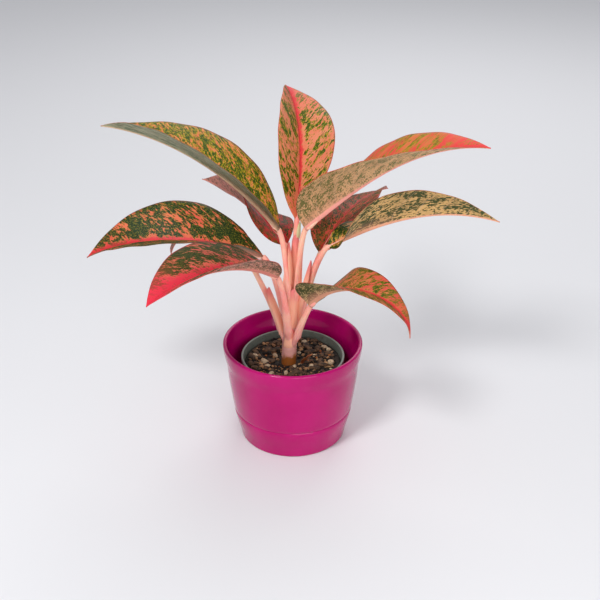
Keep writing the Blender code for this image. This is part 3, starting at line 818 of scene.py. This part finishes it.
def make_stalk(name, leaf, node, finish):
    """A fleshy stalk: its sheath hugs the stem below, and it runs on under the blade's midrib."""
    path, turn, section = stalk_curve(leaf, STALK_STEPS)
    stations = []
    start = path[0][1]
    x, y, stem_radius = stem_at(leaf["foot"][1] - 0.012)
    inner = np.array((x, y, leaf["foot"][1])) + turn * 0.6 * stem_radius
    for s in (0.0, 0.35, 0.7):
        sunk = inner + (start - inner) * s + np.array((0.0, 0.0, -STALK_SINK * (1.0 - s) ** 1.3))
        lean = unit(UPWARDS + 0.15 * turn)
        stations.append((sunk, lean, SHEATH_RADIUS * (0.55 + 0.4 * s), 1.0))
    for s, place, along in path:
        radius = SHEATH_RADIUS + (STALK_RADIUS - SHEATH_RADIUS) * s
        sheath = smooth(0.52, 0.30, s)
        stations.append((place, along, radius, sheath))
    for t, place, along, _, normal in blade_frames(leaf, PATH_STEPS)[1:9]:
        radius = STALK_RADIUS * max(0.12, 1.0 - (t / 0.21) ** 0.8)
        stations.append((place - normal * radius * 0.8, along, radius, 0.0))
    side = section[3]
    wrap = unit(np.cross(UPWARDS, turn))
    points = []
    for place, along, radius, sheath in stations:
        across = unit(side - along * np.dot(along, side))
        across = unit(across * (1.0 - sheath) + unit(wrap - along * np.dot(along, wrap)) * sheath)
        normal = np.cross(along, across)
        wide = radius * (1.0 + 0.28 * sheath)
        deep = radius * (0.95 - 0.05 * sheath)
        points += [place + across * wide * c + normal * deep * s for c, s in circle(STALK_SIDES)]
    obj = mesh_object(name, points, tube_faces(len(stations), STALK_SIDES), [finish])
    return finish_piece(obj, node)


def stem_material():
    nodes = Nodes("stem_mauve")
    space = nodes.object_space()
    height = nodes.split(space)[2]
    cloud = nodes.noise(space, 90.0, 4.0, 0.65)
    level = nodes.plus(height, cloud, 0.020)
    colour = nodes.mix(nodes.step(level, *STEM_AMBER_SPAN), STEM_AMBER, STEM_MAUVE)
    colour = nodes.mix(nodes.step(level, *STEM_PEACH_SPAN), colour, STEM_PEACH)
    speck = nodes.noise(space, 420.0, 3.0, 0.6)
    colour = nodes.tint(colour, STEM_SPECKS, nodes.step(speck, 0.60, 0.72), 0.4)
    nodes.surface(colour, cloud, 0.25, 0.30)
    nodes.flesh(0.15, 0.003)
    return nodes.bumped(speck, 0.3, 0.0003)


def make_stem():
    low = STEM_POINTS[0][2]
    high = STEM_POINTS[-1][2]
    points = []
    for r in range(STEM_ROWS + 1):
        z = low + (high - low) * r / STEM_ROWS
        x, y, radius = stem_at(z)
        for k in range(STEM_SIDES):
            a = 2.0 * math.pi * k / STEM_SIDES
            tilt = z + 0.0012 * math.sin(a + 40.0 * z)
            ring = sum(math.exp(-((tilt - s) / SCAR_WIDTH) ** 2) for s in STEM_SCARS)
            grown = radius * (1.0 + 0.015 * noise.noise(Vector((3 * math.cos(a), 3 * math.sin(a), z * 120))))
            grown += SCAR_HEIGHT * ring
            points.append((x + grown * math.cos(a), y + grown * math.sin(a), z))
    faces = tube_faces(STEM_ROWS + 1, STEM_SIDES)
    return finish_piece(mesh_object("stem_cane", points, faces, [stem_material()]), "stem")


# ---------------------------------------------------------------- pots
def arc(centre_x, centre_z, radius, start, end, steps):
    angles = np.radians(np.linspace(start, end, steps + 1))
    return [(centre_x + radius * math.cos(a), centre_z + radius * math.sin(a)) for a in angles]


def turned(name, profile, steps, materials):
    """A profile of (radius, height), from the axis back to the axis, spun about Z."""
    points = [(radius * c, radius * s, height) for radius, height in profile for c, s in circle(steps)]
    faces = []
    for r in range(len(profile) - 1):
        for k in range(steps):
            j = (k + 1) % steps
            faces.append((r * steps + k, (r + 1) * steps + k, (r + 1) * steps + j, r * steps + j))
    obj = mesh_object(name, points, faces, materials)
    builder = bmesh.new()
    builder.from_mesh(obj.data)
    bmesh.ops.remove_doubles(builder, verts=builder.verts, dist=0.000001)
    bmesh.ops.recalc_face_normals(builder, faces=builder.faces)
    builder.to_mesh(obj.data)
    builder.free()
    obj.data.shade_smooth()
    obj.data.set_sharp_from_angle(angle=math.radians(50))
    return obj


def glaze_material():
    nodes = Nodes("magenta_glaze_look")
    space = nodes.object_space()
    cloud = nodes.noise(space, 18.0, 3.0, 0.6)
    colour = nodes.mix(nodes.step(cloud, 0.3, 0.7), GLAZE_DEEP, GLAZE_LIGHT)
    speck = nodes.noise(space, 300.0, 2.0, 0.5)
    colour = nodes.tint(colour, GLAZE_SPECKS, nodes.step(speck, 0.66, 0.78), 0.25)
    nodes.surface(colour, cloud, 0.10, 0.14)
    nodes.set("Coat Weight", 0.30)
    nodes.set("Coat Roughness", 0.03)
    nodes.set("Specular IOR Level", 0.15)
    return nodes.bumped(nodes.noise(space, 60.0, 2.0, 0.5), 0.06, 0.0006)


def make_cover_pot():
    """The shape of the frame's cover pot, with finer curves on its lip, collar, ledge and foot."""
    lip_x = POT_RIM_RADIUS - POT_LIP
    lip_z = POT_HEIGHT - POT_LIP
    profile = [
        (0.0, POT_FLOOR),
        (0.0440, POT_FLOOR),
        *arc(0.0446, 0.0080, 0.0030, -80, 0, 5),
        *POT_INSIDE,
        *arc(lip_x, lip_z, POT_LIP, 180, 0, 14),
        (POT_RIM_RADIUS - 0.0001, lip_z - 0.0014),
        *POT_OUTSIDE,
        *arc(0.0514, POT_FOOT_EDGE, POT_FOOT_EDGE, 0, -90, 8),
        (0.0460, 0.0),
        (0.0, 0.0),
    ]
    obj = turned("cover_pot_shell", profile, POT_SIDES, [glaze_material()])
    return finish_piece(obj, "cover_pot")


def grower_material():
    nodes = Nodes("grower_plastic_look")
    space = nodes.object_space()
    height = nodes.split(space)[2]
    cloud = nodes.noise(space, 60.0, 4.0, 0.6)
    dust = nodes.noise(space, 500.0, 3.0, 0.6)
    colour = nodes.mix(nodes.step(cloud, 0.3, 0.7), PLASTIC_DEEP, PLASTIC_LIGHT)
    colour = nodes.mix(nodes.step(height, *GROWER_RIM_SPAN), colour, PLASTIC_RIM)
    colour = nodes.tint(colour, PLASTIC_DUST, nodes.step(dust, 0.58, 0.72), 0.5)
    nodes.surface(colour, cloud, 0.25, 0.30)
    return nodes.bumped(dust, 0.2, 0.0003)


def make_grower_pot():
    rim = GROWER_RIM_RADIUS
    profile = [
        (0.0, 0.0099),
        (0.0360, 0.0099),
        *arc(0.0362, 0.0109, 0.0010, -80, 0, 3),
        (0.0490, 0.0800),
        (0.0498, 0.0868),
        *arc(0.0504, GROWER_RIM_Z - 0.0005, 0.0005, 180, 90, 3),
        *arc(rim - 0.0006, GROWER_RIM_Z - 0.0006, 0.0006, 90, 0, 4),
        (rim - 0.0001, GROWER_RIM_Z - 0.0050),
        *arc(rim - 0.0007, GROWER_RIM_Z - 0.0054, 0.0005, 0, -80, 3),
        (0.0507, GROWER_RIM_Z - 0.0064),
        (0.0386, 0.0056),
        (0.0383, 0.0053),
        (0.0357, 0.0053),
        (0.0351, 0.0083),
        (0.0, 0.0083),
    ]
    obj = turned("grower_pot_shell", profile, GROWER_SIDES, [grower_material()])
    return finish_piece(obj, "grower_pot")


# ---------------------------------------------------------------- soil
def soil_height(x, y):
    spread = math.hypot(x, y) / SOIL_RADIUS
    lift = SOIL_CROWN * (1.0 - spread ** 2)
    lumps = SOIL_LUMPS * noise.noise(Vector((x * 90, y * 90, 1.7)))
    crumbs = SOIL_CRUMBS * noise.noise(Vector((x * 320, y * 320, 4.1)))
    return SOIL_Z + lift + (lumps + crumbs) * smooth(1.02, 0.9, spread) - SOIL_SINK


def soil_material():
    nodes = Nodes("potting_mix_look")
    space = nodes.object_space()
    crumbs = nodes.noise(space, 260.0, 5.0, 0.7)
    patches = nodes.noise(space, 60.0, 3.0, 0.6)
    colour = nodes.mix(nodes.step(crumbs, 0.36, 0.62), SOIL_BLACK, SOIL_BROWN)
    colour = nodes.tint(colour, SOIL_PATCHES, nodes.step(patches, 0.52, 0.68), 0.5)
    flecks = nodes.noise(space, 900.0, 2.0, 0.5)
    colour = nodes.mix(nodes.step(flecks, 0.68, 0.74), colour, SOIL_FLECKS)
    nodes.surface(colour, crumbs, 0.2, 0.78)
    return nodes.bumped(crumbs, 0.9, 0.0012)


def crumb_material(name, pale, deep, rough, scale):
    nodes = Nodes(name)
    space = nodes.object_space()
    cloud = nodes.noise(space, scale, 4.0, 0.65)
    fibre = nodes.noise(space, scale * 4.0, 3.0, 0.6)
    colour = nodes.mix(nodes.step(cloud, 0.35, 0.65), deep, pale)
    colour = nodes.tint(colour, [c * 0.6 for c in deep], nodes.step(fibre, 0.55, 0.7), 0.4)
    nodes.surface(colour, fibre, 0.15, rough)
    return nodes.bumped(fibre, 0.7, 0.0006)


def make_soil_top():
    """Soil as a lumpy disc with a rounded edge, over plain sides that fill the grower pot."""
    ring = circle(SOIL_SIDES)
    points = [(0.0, 0.0, soil_height(0.0, 0.0))]
    for r in range(1, SOIL_RINGS + 1):
        radius = SOIL_RADIUS * r / SOIL_RINGS
        drop = SOIL_EDGE_DROP * smooth(0.965, 1.0, r / SOIL_RINGS)
        points += [(radius * c, radius * s, soil_height(radius * c, radius * s) - drop) for c, s in ring]
    points += [(radius * c, radius * s, z) for radius, z in SOIL_LOWER for c, s in ring]
    faces = [(0, 1 + k, 1 + (k + 1) % SOIL_SIDES) for k in range(SOIL_SIDES)]
    for r in range(SOIL_RINGS + 1):
        for k in range(SOIL_SIDES):
            j = (k + 1) % SOIL_SIDES
            low = 1 + r * SOIL_SIDES
            faces.append((low + k, low + SOIL_SIDES + k, low + SOIL_SIDES + j, low + j))
    last = 1 + (SOIL_RINGS + 1) * SOIL_SIDES
    faces.append(tuple(reversed(range(last, last + SOIL_SIDES))))
    obj = mesh_object("soil_bed", points, faces, [soil_material()])
    return finish_piece(obj, "potting_soil")


def scatter(name, count, low, high, flat, reach, finish, lift):
    """Loose lumps lying on the soil, as one piece: squashed, roughened spheres of random size."""
    builder = bmesh.new()
    placed = 0
    while placed < count:
        radius = reach * math.sqrt(rng.random())
        a = 2.0 * math.pi * rng.random()
        x = radius * math.cos(a)
        y = radius * math.sin(a)
        size = low + (high - low) * rng.random() ** 2
        long = 1.0 + 0.8 * rng.random()
        wide = 0.8 + 0.4 * rng.random()
        tall = flat * (0.7 + 0.6 * rng.random())
        turn = 2.0 * math.pi * rng.random()
        tilt = 0.5 * (rng.random() - 0.5)
        offset = rng.random() * 50.0
        if math.hypot(x - STEM_FOOT[0], y - STEM_FOOT[1]) < STEM_CLEARANCE + size:
            continue
        made = bmesh.ops.create_icosphere(builder, subdivisions=2, radius=0.5 * size)
        z = soil_height(x, y) + lift * size
        for vert in made["verts"]:
            rough = 1.0 + 0.35 * noise.noise(vert.co * (2.2 / size) + Vector((offset, 0, 0)))
            local = Vector((vert.co.x * long, vert.co.y * wide, vert.co.z * tall)) * rough
            lx = local.x * math.cos(tilt) - local.z * math.sin(tilt)
            lz = local.x * math.sin(tilt) + local.z * math.cos(tilt)
            vert.co = Vector((x + lx * math.cos(turn) - local.y * math.sin(turn),
                              y + lx * math.sin(turn) + local.y * math.cos(turn), z + lz))
        placed += 1
    mesh = bpy.data.meshes.new(name)
    builder.to_mesh(mesh)
    builder.free()
    mesh.shade_smooth()
    mesh.materials.append(finish)
    return finish_piece(new_object(name, mesh), "potting_soil")


def make_soil():
    make_soil_top()
    for name, look, pale, deep, rough, grain, count, low, high, flat, inset, lift in SOIL_BITS:
        finish = crumb_material(look, pale, deep, rough, grain)
        scatter(name, count, low, high, flat, LOOSE_REACH - inset, finish, lift)


def make_scale_leaf():
    finish = crumb_material("dry_scale_look", *SCALE_COLOURS, 0.45, 260.0)
    sheets = ([], [])
    places = across_places(8)
    for section in blade_frames(SCALE_LEAF, SCALE_STATIONS):
        for v in places:
            place, out, _, _ = blade_point(SCALE_LEAF, section, v)
            sheets[0].append(place + out * SCALE_HALF_THICKNESS)
            sheets[1].append(place - out * SCALE_HALF_THICKNESS)
    points, faces = closed_strip(sheets, SCALE_STATIONS, len(places))
    return finish_piece(mesh_object("dry_scale", points, faces, [finish]), "dry_scale_leaf")


# ---------------------------------------------------------------- plant
def make_plant():
    stalk_finish = stalk_material()
    make_stem()
    for node, leaf in LEAVES.items():
        number = node.split("_")[1]
        make_blade(f"blade_{number}", leaf, node)
        make_stalk(f"stalk_{number}", leaf, node, stalk_finish)
    peach = sheath_material("sheath_peach", *PEACH_SHEATH)
    pale = sheath_material("young_leaf_pale", *PALE_SHEATH)
    for name, spec in SHEATHS.items():
        make_sheath(name, spec, pale if name == "young_leaf" else peach)
    make_scale_leaf()


# ---------------------------------------------------------------- stage, light and camera
def make_stage():
    bpy.ops.mesh.primitive_plane_add(size=6.0, location=(0.0, 1.2, 0.0))
    floor = bpy.context.object
    floor.name = "floor"
    nodes = Nodes("floor_look")
    nodes.set("Base Color", FLOOR_COLOUR)
    nodes.set("Roughness", 0.9)
    floor.data.materials.append(nodes.material)


def make_light():
    for name, place, size, power in LIGHTS:
        data = bpy.data.lights.new(name, "AREA")
        data.shape = "SQUARE"
        data.size = size
        data.energy = power
        lamp = new_object(name, data)
        lamp.location = place
        lamp.rotation_euler = (Vector(PLANT_MIDDLE) - Vector(place)).to_track_quat("-Z", "Y").to_euler()
    world = bpy.data.worlds.new("studio")
    world.use_nodes = True
    sky = world.node_tree.nodes["Background"].inputs
    sky["Color"].default_value = WORLD_COLOUR
    sky["Strength"].default_value = WORLD_STRENGTH
    bpy.context.scene.world = world


def make_camera():
    data = bpy.data.cameras.new("camera")
    data.lens = CAMERA_LENS
    data.sensor_width = CAMERA_SENSOR
    camera = new_object("camera", data)
    camera.location = CAMERA_PLACE
    camera.rotation_euler = (math.radians(CAMERA_TILT), 0.0, 0.0)
    bpy.context.scene.camera = camera


make_cover_pot()
make_grower_pot()
make_soil()
make_plant()
make_stage()
make_light()
make_camera()
bpy.context.scene.view_settings.view_transform = "Standard"
